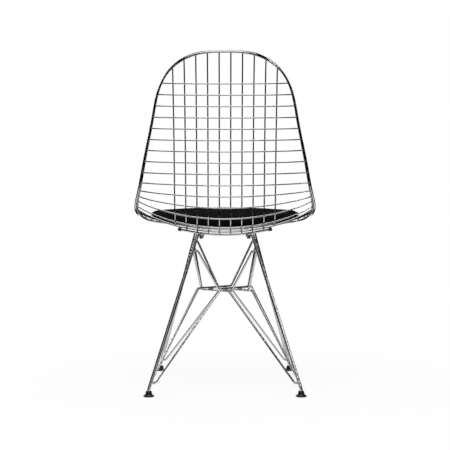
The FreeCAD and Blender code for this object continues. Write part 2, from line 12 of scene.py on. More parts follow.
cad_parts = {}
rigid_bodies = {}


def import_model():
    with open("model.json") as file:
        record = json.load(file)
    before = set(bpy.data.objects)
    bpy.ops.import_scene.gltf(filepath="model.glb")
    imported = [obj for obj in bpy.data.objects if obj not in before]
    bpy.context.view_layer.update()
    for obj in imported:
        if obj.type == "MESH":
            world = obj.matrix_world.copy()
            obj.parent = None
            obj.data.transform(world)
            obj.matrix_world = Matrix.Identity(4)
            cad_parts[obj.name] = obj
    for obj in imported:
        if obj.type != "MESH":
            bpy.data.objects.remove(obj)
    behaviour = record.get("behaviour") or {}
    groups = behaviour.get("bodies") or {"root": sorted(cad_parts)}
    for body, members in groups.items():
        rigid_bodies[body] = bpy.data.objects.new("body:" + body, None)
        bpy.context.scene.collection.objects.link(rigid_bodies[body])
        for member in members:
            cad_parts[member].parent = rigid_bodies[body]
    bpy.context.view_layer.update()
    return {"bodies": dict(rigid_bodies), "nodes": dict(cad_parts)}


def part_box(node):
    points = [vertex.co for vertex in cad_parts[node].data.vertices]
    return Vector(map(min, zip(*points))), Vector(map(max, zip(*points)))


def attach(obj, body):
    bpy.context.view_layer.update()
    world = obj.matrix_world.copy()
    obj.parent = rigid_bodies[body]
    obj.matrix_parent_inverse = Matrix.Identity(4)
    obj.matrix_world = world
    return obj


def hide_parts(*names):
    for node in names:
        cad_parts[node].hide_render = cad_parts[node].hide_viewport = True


bl_info = {
    "name": "Wire Mesh Chair",
    "version": (1, 0, 0),
    "blender": (4, 5, 0),
    "location": "3D View > Sidebar > Chair",
    "description": "Dresses the solids of a wire mesh chair with smooth rods, welds and a seat pad",
    "category": "Add Mesh",
}

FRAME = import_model()
BODY = next(iter(FRAME["bodies"]))
NODES = FRAME["nodes"]
MM = 0.001

# Bends of the base, in millimetres: the leg's eye, upper bend, ankle and foot on the right
# side, and the eight corners of a brace loop. The other side's are mirrored. A loop has a hairpin
# against a leg between each pair of corners in HAIRPINS.
LEG_PATHS = {
    "rear": [(58.78, 113.66, 387.28), (69.40, 113.00, 386.67), (183, 215, 17), (183, 215, 4.6)],
    "front": [(57.62, -79.86, 409.06), (75.44, -80.66, 408.11), (183, -215, 17), (183, -215, 4.6)],
}
LOOP_PATHS = {
    "rear_left": [
        (-68.49, 122.21, 348.77), (-16.28, 67.69, 244), (70.38, -48.57, 244),
        (177.98, -199.33, 31.51), (168.78, -209.84, 30.63), (10.27, -69.67, 244),
        (-61.44, 26.54, 244), (-79.73, 114.04, 350.51),
    ],
    "front_right": [
        (75.04, -92.14, 371.28), (16.28, -67.69, 244), (-70.38, 48.57, 244),
        (-179.09, 200.41, 32.18), (-168.38, 209.23, 30.31), (-10.27, 69.67, 244),
        (61.44, -26.54, 244), (85.36, -82.69, 371.03),
    ],
}
HAIRPINS = ((7, 0), (3, 4))
CROSSBARS = ("crossbar_rear", "crossbar_front")
SIDES = (("right", 1), ("left", -1))

# The farthest apart that two neighbouring corners of one ring of a CAD rod's mesh lie, and the
# corners of such a ring on a crossbar.
RING_REACH = 0.004
BAR_RING = 12

# The signs of X and Y in the four quarters of the seat pad, seen from above.
QUARTERS = ((1, 1), (-1, 1), (-1, -1), (1, -1))

# Where the upright dark screens stand, in degrees to each side of straight behind the chair, and
# how far out, how high, and how wide the openings in the rings above and below are, in metres.
SCREEN_SPANS = ((10, 72), (77, 122), (126, 170))
SCREEN_REACH = 3.4
SCREEN_HEIGHT = 3.6
OPENING_ABOVE = 0.9
OPENING_BELOW = 0.5


# Settings that a user would change

def number_property(name, description, default, low=0.0, **more):
    return bpy.props.FloatProperty(
        name=name, description=description, default=default, min=low, **more
    )


def length_property(name, description, default, low=0.0):
    return number_property(
        name, description, default, low, subtype="DISTANCE", unit="LENGTH", precision=5
    )


def colour_property(name, description, default):
    return bpy.props.FloatVectorProperty(
        name=name, description=description, default=default, size=3,
        subtype="COLOR", min=0.0, max=1.0,
    )


class ShellSettings(bpy.types.PropertyGroup):
    mesh_wire: length_property("Mesh wire", "Diameter of the mesh wires", 0.0033)
    edge_wire: length_property("Edge wire", "Diameter of each of the two edge wires", 0.0052)
    weld: length_property("Weld", "Length of the weld where two wires cross", 0.0050)
    sides: bpy.props.IntProperty(
        name="Wire sides", description="Sides of a mesh wire's section", default=12, min=6,
    )


class BaseSettings(bpy.types.PropertyGroup):
    leg: length_property("Leg", "Diameter of a leg", 0.0085)
    leg_bend: length_property("Leg bend", "Radius of a leg's upper bend", 0.008)
    ankle_bend: length_property("Ankle bend", "Radius of the bend above a foot", 0.026)
    eye: length_property("Eye", "Diameter of the leg's flattened end", 0.014)
    eye_thickness: length_property("Eye thickness", "Thickness of the leg's flattened end", 0.0045)
    eye_taper: length_property("Eye taper", "Length over which the eye becomes round", 0.008)
    brace: length_property("Brace", "Diameter of a brace", 0.0056)
    brace_bend: length_property("Brace bend", "Radius of a brace's bends", 0.009)
    hairpin_bend: length_property("Hairpin bend", "Radius of the bends against a leg", 0.0065)
    brace_rise: length_property("Brace rise", "From the lower pair of braces to the upper", 0.006)
    crossbar: length_property("Crossbar", "Diameter of a crossbar", 0.008)
    cap_wall: length_property("Cap wall", "Wall of a crossbar's end cap", 0.0008)
    cap_length: length_property("Cap length", "Length of the cap on the crossbar", 0.007)


class FittingSettings(bpy.types.PropertyGroup):
    flats: length_property("Across flats", "Dome nut across its flats", 0.009)
    washer: length_property("Washer", "Diameter of the nut's washer face", 0.013)
    nut_start: length_property("Nut start", "From the stud's top to the nut's washer face", 0.0077)
    glide_flange: length_property("Glide flange", "Diameter of a glide", 0.0266)
    glide_top: length_property("Glide top", "Diameter of the glide's top", 0.0134)
    glide_height: length_property("Glide height", "Height of a glide", 0.0142)


class PadSettings(bpy.types.PropertyGroup):
    voxel: length_property("Cloth size", "Size of the faces of the simulated cover", 0.005, 0.003)
    tuck: length_property("Tuck", "How much smaller the cover starts", 0.0012)
    swell: length_property("Swell", "Farthest that the cover may move", 0.005)
    pressure: number_property("Pressure", "How hard the filling pushes the cover out", 4.0)
    piping: length_property("Piping", "Diameter of the corded seam round the pad", 0.0024)
    stitch: length_property("Stitch", "Length of a stitch beside the seam", 0.0036)
    stitch_thickness: length_property("Stitch thickness", "Thickness of a stitch", 0.0008)
    stitch_pitch: length_property("Stitch pitch", "Between two stitches", 0.0052, 0.001)
    cover: colour_property("Cover", "Colour of the fabric", (0.0046, 0.0046, 0.0049))
    thread: colour_property("Thread", "Colour of the stitches", (0.013, 0.013, 0.014))


class FinishSettings(bpy.types.PropertyGroup):
    chrome: colour_property("Chrome", "Colour of the plated steel", (0.60, 0.605, 0.61))
    weld: colour_property("Weld", "Colour of the plated welds", (0.50, 0.505, 0.51))
    plastic: colour_property("Plastic", "Colour of the glides and end caps", (0.012, 0.012, 0.013))


class StageSettings(bpy.types.PropertyGroup):
    distance: length_property("Camera distance", "From the chair's middle to the camera", 2.505)
    height: length_property("Camera height", "Height of the level camera", 0.398)
    lens: number_property(
        "Lens", "Focal length of the camera", 76.3, 10.0, subtype="DISTANCE_CAMERA"
    )
    shift: number_property(
        "Shift", "Upward shift of the camera's frame", 0.0133, -2.0, precision=4
    )
    soft_light: number_property(
        "Soft light", "Power of the large lamp overhead", 26.0, subtype="POWER", unit="POWER"
    )
    fill_light: number_property(
        "Fill light", "Power of each lamp at the sides", 7.0, subtype="POWER", unit="POWER"
    )
    room: number_property("Room light", "Strength of the light from all round", 0.55)
    screens: bpy.props.BoolProperty(
        name="Dark screens", default=True,
        description="Whether dark screens stand around for the chrome to reflect",
    )


SETTINGS = {
    "chair_shell": ShellSettings,
    "chair_base": BaseSettings,
    "chair_fittings": FittingSettings,
    "chair_pad": PadSettings,
    "chair_finish": FinishSettings,
    "chair_stage": StageSettings,
}


# Nodes, of shaders and of geometry

class Nodes:
    """A node tree that is put together step by step."""

    def __init__(self, tree):
        self.tree = tree

    def feed(self, socket, value):
        """Links the socket to another, or sets its value."""
        if isinstance(value, bpy.types.NodeSocket):
            self.tree.links.new(value, socket)
        else:
            socket.default_value = value

    def step(self, kind, settings=(), **inputs):
        """A new node with its settings, whose inputs are fed by name."""
        node = self.tree.nodes.new(kind)
        for key, value in dict(settings).items():
            setattr(node, key, value)
        for key, value in inputs.items():
            self.feed(node.inputs[key.replace("_", " ")], value)
        return node

    def math(self, operation, a, b):
        node = self.step("ShaderNodeMath", {"operation": operation})
        self.feed(node.inputs[0], a)
        self.feed(node.inputs[1], b)
        return node.outputs["Value"]

    def spread(self, value, low, high, start=0.35, end=0.65):
        """The value taken from start..end to low..high."""
        node = self.step(
            "ShaderNodeMapRange", Value=value, From_Min=start, From_Max=end, To_Min=low, To_Max=high
        )
        return node.outputs["Result"]


class Finish(Nodes):
    """A procedural material of the chair."""

    def __init__(self, name, colour):
        self.material = bpy.data.materials.new(name)
        self.material.use_nodes = True
        self.material.diffuse_color = (*colour, 1.0)
        super().__init__(self.material.node_tree)
        self.object = self.step("ShaderNodeTexCoord").outputs["Object"]

    def noise(self, scale, detail=2.0, roughness=0.5, stretch=(1, 1, 1)):
        place = self.step("ShaderNodeMapping", Vector=self.object, Scale=stretch)
        node = self.step(
            "ShaderNodeTexNoise", Vector=place.outputs["Vector"], Scale=scale, Detail=detail,
            Roughness=roughness,
        )
        return node.outputs["Fac"]

    def bands(self, direction, scale, distortion=0.0):
        node = self.step(
            "ShaderNodeTexWave", {"wave_type": "BANDS", "bands_direction": direction},
            Vector=self.object, Scale=scale, Distortion=distortion,
        )
        return node.outputs["Fac"]

    def height(self):
        return self.step("ShaderNodeSeparateXYZ", Vector=self.object).outputs["Z"]

    def mixed(self, factor, first, second):
        """The first colour where the factor is zero, and the second where it is one."""
        node = self.step("ShaderNodeMix", {"data_type": "RGBA"})
        self.feed(node.inputs[0], factor)
        self.feed(node.inputs[6], (*first, 1.0))
        self.feed(node.inputs[7], (*second, 1.0))
        return node.outputs[2]

    def relief(self, value, depth, strength=1.0, under=None):
        """A bumped normal, on top of another if one is given."""
        node = self.step("ShaderNodeBump", Height=value, Distance=depth, Strength=strength)
        if under:
            self.feed(node.inputs["Normal"], under)
        return node.outputs["Normal"]

    def set(self, **sockets):
        """Feeds the shader's own sockets and gives the material back."""
        shader = self.tree.nodes["Principled BSDF"]
        for key, value in sockets.items():
            self.feed(shader.inputs[key.replace("_", " ")], value)
        return self.material


def shade(colour, factor):
    """The colour made lighter or darker by a factor."""
    return tuple(min(1.0, part * factor) for part in colour)


def chrome_finish(name, colour, dull):
    """Plated steel: faint clouding, hairline wear and the slight waviness of drawn wire."""
    finish = Finish(name, colour)
    cloud = finish.noise(38.0, 4.0)
    scratch = finish.noise(900.0, 2.0, 0.6, (1.0, 1.0, 0.12))
    wave = finish.relief(finish.noise(170.0, 1.0), 0.0006, 0.8)
    rough = finish.math("ADD", finish.spread(cloud, 0.03 + dull, 0.10 + dull),
                        finish.spread(scratch, 0.0, 0.05, 0.55, 0.8))
    return finish.set(
        Base_Color=finish.mixed(finish.spread(cloud, 0.0, 1.0), shade(colour, 0.92), colour),
        Metallic=1.0,
        Roughness=rough,
        Normal=finish.relief(scratch, 0.00004, 0.35, wave),
    )


def plastic_finish(name, colour):
    """Glossy moulded plastic that is scuffed and dusty towards the floor."""
    finish = Finish(name, colour)
    grain = finish.noise(1400.0, 3.0)
    low = finish.spread(finish.height(), 1.0, 0.0, 0.0, 0.004)
    patches = finish.spread(finish.noise(420.0, 5.0), 0.0, 1.0, 0.42, 0.62)
    scuff = finish.math("MULTIPLY", low, patches)
    worn = finish.math("MULTIPLY", scuff, 0.35)
    return finish.set(
        Base_Color=finish.mixed(scuff, colour, shade(colour, 4.0)),
        Roughness=finish.math("ADD", finish.spread(grain, 0.13, 0.22), worn),
        Normal=finish.relief(grain, 0.00003, 0.4),
    )


def cover_finish(name, colour):
    """Closely woven matt fabric: over and under threads, slubs and a little lint."""
    finish = Finish(name, colour)
    warp = finish.bands("X", 260.0, 0.4)
    weft = finish.bands("Y", 260.0, 0.4)
    weave = finish.math("MULTIPLY", warp, weft)
    slub = finish.noise(420.0, 3.0, 0.55, (1.0, 0.25, 1.0))
    lint = finish.spread(finish.noise(160.0, 6.0, 0.7), 0.0, 1.0, 0.55, 0.75)
    lit = finish.math("ADD", finish.math("MULTIPLY", weave, 0.45),
                      finish.math("MULTIPLY", finish.math("ADD", slub, lint), 0.35))
    threads = finish.math("ADD", weave, finish.math("MULTIPLY", slub, 0.4))
    soft = finish.relief(finish.noise(24.0, 2.0), 0.0015, 0.35)
    return finish.set(
        Base_Color=finish.mixed(lit, shade(colour, 0.6), shade(colour, 2.2)),
        Roughness=finish.spread(weave, 0.92, 0.74, 0.0, 1.0),
        Specular_IOR_Level=0.015,
        Sheen_Weight=0.004,
        Sheen_Roughness=0.45,
        Normal=finish.relief(threads, 0.0003, 0.7, soft),
    )


def made_once(name, make, *values):
    """The material of that name, made by make(name, *values) the first time."""
    return bpy.data.materials.get(name) or make(name, *values)


def chrome():
    colour = tuple(bpy.context.scene.chair_finish.chrome)
    return made_once("polished_chrome", chrome_finish, colour, 0.0)


def weld_chrome():
    colour = tuple(bpy.context.scene.chair_finish.weld)
    return made_once("plated_weld", chrome_finish, colour, 0.12)


def plastic():
    colour = tuple(bpy.context.scene.chair_finish.plastic)
    return made_once("gloss_plastic", plastic_finish, colour)


def cover():
    return made_once("pad_cover", cover_finish, tuple(bpy.context.scene.chair_pad.cover))


def thread():
    return made_once("pad_thread", cover_finish, tuple(bpy.context.scene.chair_pad.thread))


class NodeRecipe(Nodes):
    """A Geometry Nodes tree with named inputs."""

    def __init__(self, name, inputs):
        super().__init__(bpy.data.node_groups.new(name, "GeometryNodeTree"))
        self.tree.is_modifier = True
        sockets = self.tree.interface
        sockets.new_socket("Geometry", in_out="INPUT", socket_type="NodeSocketGeometry")
        self.sockets = {
            label: sockets.new_socket(label, in_out="INPUT", socket_type=kind).identifier
            for label, kind in inputs.items()
        }
        sockets.new_socket("Geometry", in_out="OUTPUT", socket_type="NodeSocketGeometry")
        self.entry = self.tree.nodes.new("NodeGroupInput")

    def given(self, label):
        return self.entry.outputs[label]

    def end(self, geometry):
        """Makes the geometry real, gives it its material and ends the tree."""
        real = self.step("GeometryNodeRealizeInstances", Geometry=geometry)
        painted = self.step(
            "GeometryNodeSetMaterial", Geometry=real.outputs["Geometry"],
            Material=self.given("Material"),
        )
        self.step("NodeGroupOutput", Geometry=painted.outputs["Geometry"])
        return self

    def end_in_balls(self, points, radius, level, turn, size):
        """Puts a smooth ball on each point, turned and sized by two sockets, and ends the tree."""
        ball = self.step("GeometryNodeMeshIcoSphere", Radius=radius, Subdivisions=level)
        smooth = self.step(
            "GeometryNodeSetShadeSmooth", Geometry=ball.outputs["Mesh"], Shade_Smooth=True
        )
        placed = self.step(
            "GeometryNodeInstanceOnPoints", Points=points, Instance=smooth.outputs["Geometry"],
            Rotation=turn, Scale=size,
        )
        return self.end(placed.outputs["Instances"])


def rod_recipe():
    """A round rod along a path, whose corners are bent to each point's own radius."""
    recipe = NodeRecipe("Rod along a path", {
        "Diameter": "NodeSocketFloat", "Sides": "NodeSocketInt", "Bend steps": "NodeSocketInt",
        "Material": "NodeSocketMaterial",
    })
    radius = recipe.step("GeometryNodeInputRadius").outputs["Radius"]
    bent = recipe.step(
        "GeometryNodeFilletCurve", {"mode": "POLY"}, Curve=recipe.given("Geometry"),
        Radius=radius, Count=recipe.given("Bend steps"), Limit_Radius=True,
    )
    even = recipe.step("GeometryNodeSetCurveRadius", Curve=bent.outputs["Curve"], Radius=1.0)
    circle = recipe.step(
        "GeometryNodeCurvePrimitiveCircle", {"mode": "RADIUS"}, Resolution=recipe.given("Sides"),
        Radius=recipe.math("MULTIPLY", recipe.given("Diameter"), 0.5),
    )
    rod = recipe.step(
        "GeometryNodeCurveToMesh", Curve=even.outputs["Curve"],
        Profile_Curve=circle.outputs["Curve"], Fill_Caps=True,
    )
    smooth = recipe.step(
        "GeometryNodeSetShadeSmooth", Geometry=rod.outputs["Mesh"], Shade_Smooth=True
    )
    return recipe.end(smooth.outputs["Geometry"])


def bead_recipe():
    """A small rounded bead on each point, turned and sized by the point's own values."""
    recipe = NodeRecipe("Beads on points", {"Material": "NodeSocketMaterial"})
    turn, size = (
        recipe.step("GeometryNodeInputNamedAttribute", {"data_type": "FLOAT_VECTOR"}, Name=name)
        for name in ("turn", "size")
    )
    return recipe.end_in_balls(
        recipe.given("Geometry"), 1.0, 2, turn.outputs["Attribute"], size.outputs["Attribute"]
    )


def stitch_recipe():
    """Stitches at an even pitch along a path."""
    recipe = NodeRecipe("Stitches along a path", {
        "Pitch": "NodeSocketFloat", "Length": "NodeSocketFloat", "Thickness": "NodeSocketFloat",
        "Material": "NodeSocketMaterial",
    })
    even = recipe.step(
        "GeometryNodeResampleCurve", {"mode": "LENGTH"}, Curve=recipe.given("Geometry"),
        Length=recipe.given("Pitch"),
    )
    tangent = recipe.step("GeometryNodeInputTangent").outputs["Tangent"]
    turn = recipe.step("FunctionNodeAlignRotationToVector", {"axis": "X"}, Vector=tangent)
    thick = recipe.given("Thickness")
    size = recipe.step("ShaderNodeCombineXYZ", X=recipe.given("Length"), Y=thick, Z=thick)
    return recipe.end_in_balls(
        even.outputs["Curve"], 0.5, 1, turn.outputs["Rotation"], size.outputs["Vector"]
    )


RECIPES = {}


def recipe_of(make):
    """The tree that make() builds, built the first time only."""
    if make not in RECIPES:
        RECIPES[make] = make()
    return RECIPES[make]


def grown(name, data, make, values, sharp=math.radians(40)):
    """The plain mesh object that a recipe makes of some data."""
    recipe = recipe_of(make)
    source = linked(name + "_source", data)
    modifier = source.modifiers.new("Recipe", "NODES")
    modifier.node_group = recipe.tree
    for label, value in values.items():
        modifier[recipe.sockets[label]] = value
    evaluated = source.evaluated_get(bpy.context.evaluated_depsgraph_get())
    mesh = bpy.data.meshes.new_from_object(evaluated)
    bpy.data.objects.remove(source)
    if not mesh.polygons:
        raise RuntimeError(name + " came out empty")
    mesh.name = name
    mesh.set_sharp_from_angle(angle=sharp)
    return linked(name, mesh)


def rods(name, data, diameter, sides, finish, bend_steps=1):
    """Round rods along the paths of some curve data."""
    return grown(name, data, rod_recipe, {
        "Diameter": diameter, "Sides": sides, "Bend steps": bend_steps, "Material": finish,
    })


def linked(name, data):
    """A new object in the scene that shows some data."""
    piece = bpy.data.objects.new(name, data)
    bpy.context.scene.collection.objects.link(piece)
    return piece


# Paths and solids of the frame

def merged(node):
    """A copy of a CAD node's mesh whose loose triangles are joined."""
    shape = bmesh.new()
    shape.from_mesh(NODES[node].data)
    bmesh.ops.remove_doubles(shape, verts=shape.verts, dist=1e-6)
    return shape


def ring_groups(node):
    """The rings of corners round a CAD rod: their centres, which are joined, and their counts."""
    shape = merged(node)
    shape.verts.ensure_lookup_table()
    owner = [-1] * len(shape.verts)
    rings = []
    for start in shape.verts:
        if owner[start.index] >= 0:
            continue
        owner[start.index] = len(rings)
        ring = [start]
        for corner in ring:
            for edge in corner.link_edges:
                other = edge.other_vert(corner)
                if owner[other.index] < 0 and edge.calc_length() < RING_REACH:
                    owner[other.index] = len(rings)
                    ring.append(other)
        rings.append(ring)
    joined = [set() for _ in rings]
    for edge in shape.edges:
        a, b = (owner[corner.index] for corner in edge.verts)
        if a != b:
            joined[a].add(b)
            joined[b].add(a)
    centres = [sum((c.co for c in ring), Vector()) / len(ring) for ring in rings]
    counts = [len(ring) for ring in rings]
    shape.free()
    return centres, joined, counts


def wire_path(node):
    """The centre line of a CAD wire, in order, and whether it is closed."""
    centres, joined, counts = ring_groups(node)
    ends = [k for k, others in enumerate(joined) if len(others) == 1]
    if len(ends) not in (0, 2) or len(set(counts)) != 1:
        raise RuntimeError(node + " isn't one plain wire")
    order = [ends[0] if ends else 0]
    while True:
        onward = [k for k in joined[order[-1]] if k not in order]
        if not onward:
            break
        order.append(onward[0])
    if len(order) != len(centres):
        raise RuntimeError(node + " has rings off its path")
    return [centres[k] for k in order], not ends


def bar_path(node):
    """The centre line of a crossbar from left to right, without its stud holes."""
    centres, _, counts = ring_groups(node)
    plain = [centre for centre, count in zip(centres, counts) if count == BAR_RING]
    return sorted(plain, key=lambda centre: centre.x)


def bolt_lines():
    """Where each bolt's stud starts and which way it points."""
    centres, joined, _ = ring_groups("leg_studs")
    lines = []
    for k, others in enumerate(joined):
        for other in others:
            if centres[k].z > centres[other].z:
                lines.append((centres[k], (centres[other] - centres[k]).normalized()))
    if len(lines) != 4:
        raise RuntimeError("leg_studs doesn't hold four studs")
    return lines


def scaled(points, side=1):
    """Points in millimetres as vectors in metres, mirrored where side is -1."""
    return [Vector((side * x * MM, y * MM, z * MM)) for x, y, z in points]


def each_leg():
    """Each leg's place and side, as in rear_left, and its bends."""
    for place, path in LEG_PATHS.items():
        for name, side in SIDES:
            yield place + "_" + name, scaled(path, side)


def ends_of(path):
    """Each end of a path with the point next to it."""
    return (path[0], path[1]), (path[-1], path[-2])


def ahead(path, k):
    """Which way a path runs at one of its points."""
    return path[min(k + 1, len(path) - 1)] - path[max(k - 1, 0)]


def smooth_curve(name, paths):
    """Curve data with one smooth spline through each path."""
    data = bpy.data.curves.new(name, "CURVE")
    data.dimensions = "3D"
    data.resolution_u = 4
    for points, closed in paths:
        spline = data.splines.new("BEZIER")
        spline.bezier_points.add(len(points) - 1)
        spline.use_cyclic_u = closed
        for knot, point in zip(spline.bezier_points, points):
            knot.co = point
            knot.radius = 0.0
            knot.handle_left_type = knot.handle_right_type = "AUTO"
    return data


def bent_curve(name, paths):
    """Curve data with one spline of straight runs for each path of (points, radii, closed)."""
    data = bpy.data.curves.new(name, "CURVE")
    data.dimensions = "3D"
    for points, radii, closed in paths:
        spline = data.splines.new("POLY")
        spline.points.add(len(points) - 1)
        spline.use_cyclic_u = closed
        for knot, point, radius in zip(spline.points, points, radii):
            knot.co = (*point, 1.0)
            knot.radius = radius
    return data


def frame_at(along, up):
    """Rotation whose X runs along and whose Z is nearest to up."""
    along = along.normalized()
    side = up.cross(along).normalized()
    return Matrix((along, side, along.cross(side))).transposed()


def mesh_piece(name, corners, faces, finish):
    """A smooth mesh object with its normals pointing outwards."""
    shape = bmesh.new()
    made = [shape.verts.new(corner) for corner in corners]
    for face in faces:
        shape.faces.new([made[k] for k in face])
    bmesh.ops.recalc_face_normals(shape, faces=shape.faces)
    mesh = bpy.data.meshes.new(name)
    shape.to_mesh(mesh)
    shape.free()
    mesh.shade_smooth()
    mesh.set_sharp_from_angle(angle=math.radians(38))
    mesh.materials.append(finish)
    return linked(name, mesh)


def lofted(rings):
    """Corners and faces of a closed skin over rings with equal counts, capped at both ends."""
    count = len(rings[0])
    corners = [corner for ring in rings for corner in ring]
    faces = [tuple(range(count))[::-1], tuple(range(len(corners) - count, len(corners)))]
    for row in range(len(rings) - 1):
        base = row * count
        for k in range(count):
            after = (k + 1) % count
            faces.append((base + k, base + after, base + count + after, base + count + k))
    return corners, faces


def lathe_rings(profile, sides, radius_at=None):
    """Rings round the Z axis for (radius, height) pairs; radius_at may reshape a ring."""
    rings = []
    for radius, height in profile:
        ring = []
        for k in range(sides):
            angle = 2 * math.pi * k / sides
            reach = radius_at(radius, height, angle) if radius_at else radius
            ring.append(Vector((reach * math.cos(angle), reach * math.sin(angle), height)))
        rings.append(ring)
    return rings


def turned_skin(profile, sides, place, out, radius_at=None):
    """The profile turned about the axis that starts at a place and points out."""
    turn = out.to_track_quat("Z", "Y").to_matrix()
    rings = lathe_rings(profile, sides, radius_at)
    return lofted([[place + turn @ corner for corner in ring] for ring in rings])


def joined_skins(skins):
    """Several skins as one list of corners and one of faces."""
    corners, faces = [], []
    for more, around in skins:
        base = len(corners)
        corners += more
        faces += [tuple(base + k for k in face) for face in around]
    return corners, faces


def eased(profile, radius, steps=4):
    """The profile with its inner corners rounded."""
    points = [Vector((r, h)) for r, h in profile]
    made = [points[0]]
    for before, corner, after in zip(points, points[1:], points[2:]):
        back = before - corner
        on = after - corner
        cut = min(radius, back.length * 0.45, on.length * 0.45)
        start = corner + back.normalized() * cut
        end = corner + on.normalized() * cut
        for k in range(steps + 1):
            t = k / steps
            made.append(start * (1 - t) ** 2 + corner * 2 * t * (1 - t) + end * t * t)
    made.append(points[-1])
    return [(p.x, p.y) for p in made]


def finished(piece, nodes=(), room=None):
    """Rides the piece on the chair, in place of the CAD nodes whose box it may leave by room."""
    for node in nodes:
        if node not in NODES:
            raise RuntimeError("the frame has no node " + node)
    if room is not None:
        agrees(piece, nodes, room)
    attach(piece, BODY)
    if nodes:
        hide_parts(*nodes)


def agrees(piece, nodes, room):
    """Raises where the piece's box leaves the box of the nodes it stands for by more than room."""
    low = [min(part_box(node)[0][axis] for node in nodes) for axis in range(3)]
    high = [max(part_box(node)[1][axis] for node in nodes) for axis in range(3)]
    places = [corner.co for corner in piece.data.vertices]
    for axis in range(3):
        start = min(place[axis] for place in places)
        end = max(place[axis] for place in places)
        if start < low[axis] - room or end > high[axis] + room:
            raise RuntimeError("%s leaves its solids' box" % piece.name)


def named_nodes(start):
    """The names of the CAD nodes that begin with start, in order."""
    return sorted(name for name in NODES if name.startswith(start))


# Operators, one for each kind of piece

class ChairOperator:
    """What every operator shares: it builds its pieces, and can be undone."""
    bl_options = {"REGISTER", "UNDO"}

    def execute(self, context):
        self.build(context.scene)
        return {"FINISHED"}


class CHAIR_OT_mesh_wires(ChairOperator, bpy.types.Operator):
    """Draw the cross wires and the length wires of the shell as round, smooth wires"""
    bl_idname = "chair.mesh_wires"
    bl_label = "Mesh Wires"

    def build(self, scene):
        settings = scene.chair_shell
        for start, name in (("cross_wire_", "cross_wires"), ("length_wire_", "length_wires")):
            nodes = named_nodes(start)
            data = smooth_curve(name, [wire_path(node) for node in nodes])
            piece = rods(name, data, settings.mesh_wire, settings.sides, chrome())
            finished(piece, nodes, room=0.001)


class CHAIR_OT_edge_wires(ChairOperator, bpy.types.Operator):
    """Draw the two edge wires that hold the ends of the mesh wires between them"""
    bl_idname = "chair.edge_wires"
    bl_label = "Edge Wires"

    def build(self, scene):
        settings = scene.chair_shell
        for name in ("edge_wire_inner", "edge_wire_outer"):
            data = smooth_curve(name, [wire_path(name)])
            piece = rods(name + "_round", data, settings.edge_wire, 2 * settings.sides, chrome())
            finished(piece, [name], room=0.002)


class CHAIR_OT_welds(ChairOperator, bpy.types.Operator):
    """Put a small weld where two mesh wires cross, and where a wire meets the edge"""
    bl_idname = "chair.welds"
    bl_label = "Mesh Welds"

    def build(self, scene):
        settings = scene.chair_shell
        wire = settings.mesh_wire
        lengths = [wire_path(node)[0] for node in named_nodes("length_wire_")]
        crosses = [wire_path(node)[0] for node in named_nodes("cross_wire_")]
        knots = [(point, ahead(path, k)) for path in lengths for k, point in enumerate(path)]
        tree = KDTree(len(knots))
        for index, (point, _) in enumerate(knots):
            tree.insert(point, index)
        tree.balance()
        places, turns, sizes = [], [], []
        for path in crosses:
            for point in path:
                other, index, apart = tree.find(point)
                if apart < wire * 1.2:
                    places.append((point + other) / 2)
                    turns.append(frame_at(knots[index][1], other - point))
                    sizes.append((settings.weld * 0.5, settings.weld * 0.42, wire * 0.62))
        for path in crosses + lengths:
            for end, inner in ends_of(path):
                places.append(end + (inner - end).normalized() * wire * 0.4)
                turns.append(frame_at(end - inner, Vector((0, 0.3, 1))))
                sizes.append((settings.weld * 0.6, wire * 0.72, wire * 0.72))
        finished(beads("mesh_welds", places, turns, sizes))


def beads(name, places, turns, sizes):
    """Weld beads at the places, each with its rotation and its three half sizes."""
    mesh = bpy.data.meshes.new(name)
    mesh.from_pydata(places, [], [])
    turn = mesh.attributes.new("turn", "FLOAT_VECTOR", "POINT")
    turn.data.foreach_set("vector", [v for t in turns for v in t.to_euler()])
    size = mesh.attributes.new("size", "FLOAT_VECTOR", "POINT")
    size.data.foreach_set("vector", [v for s in sizes for v in s])
    return grown(name, mesh, bead_recipe, {"Material": weld_chrome()}, math.pi)


class CHAIR_OT_crossbars(ChairOperator, bpy.types.Operator):
    """Draw the two crossbars under the seat"""
    bl_idname = "chair.crossbars"
    bl_label = "Crossbars"

    def build(self, scene):
        for node in CROSSBARS:
            data = smooth_curve(node, [(bar_path(node), False)])
            piece = rods(node + "_round", data, scene.chair_base.crossbar, 32, chrome())
            finished(piece, [node], room=0.001)


class CHAIR_OT_end_caps(ChairOperator, bpy.types.Operator):
    """Put a black cap on each end of the crossbars"""
    bl_idname = "chair.end_caps"
    bl_label = "End Caps"

    def build(self, scene):
        settings = scene.chair_base
        bore = settings.crossbar / 2
        outer = bore + settings.cap_wall
        long = settings.cap_length
        profile = eased([
            (bore, -long + 0.0004), (bore, -long), (outer, -long), (outer * 1.02, 0.0),
            (outer * 0.75, 0.0018), (0.0002, 0.0019),
        ], 0.0008)
        skins = [
            turned_skin(profile, 32, end, (end - inner).normalized())
            for node in CROSSBARS for end, inner in ends_of(bar_path(node))
        ]
        piece = mesh_piece("end_caps", *joined_skins(skins), plastic())
        finished(piece, ["crossbar_caps"], room=0.001)


class CHAIR_OT_legs(ChairOperator, bpy.types.Operator):
    """Bend the four legs, each with a flattened end that is bolted under a crossbar"""
    bl_idname = "chair.legs"
    bl_label = "Legs"

    def build(self, scene):
        lines = bolt_lines()
        for name, points in each_leg():
            _, down = min(lines, key=lambda line: (line[0] - points[0]).length)
            rings = leg_rings(points, down, scene.chair_base)
            piece = mesh_piece("leg_%s_round" % name, *lofted(rings), chrome())
            finished(piece, ["leg_" + name], room=0.002)


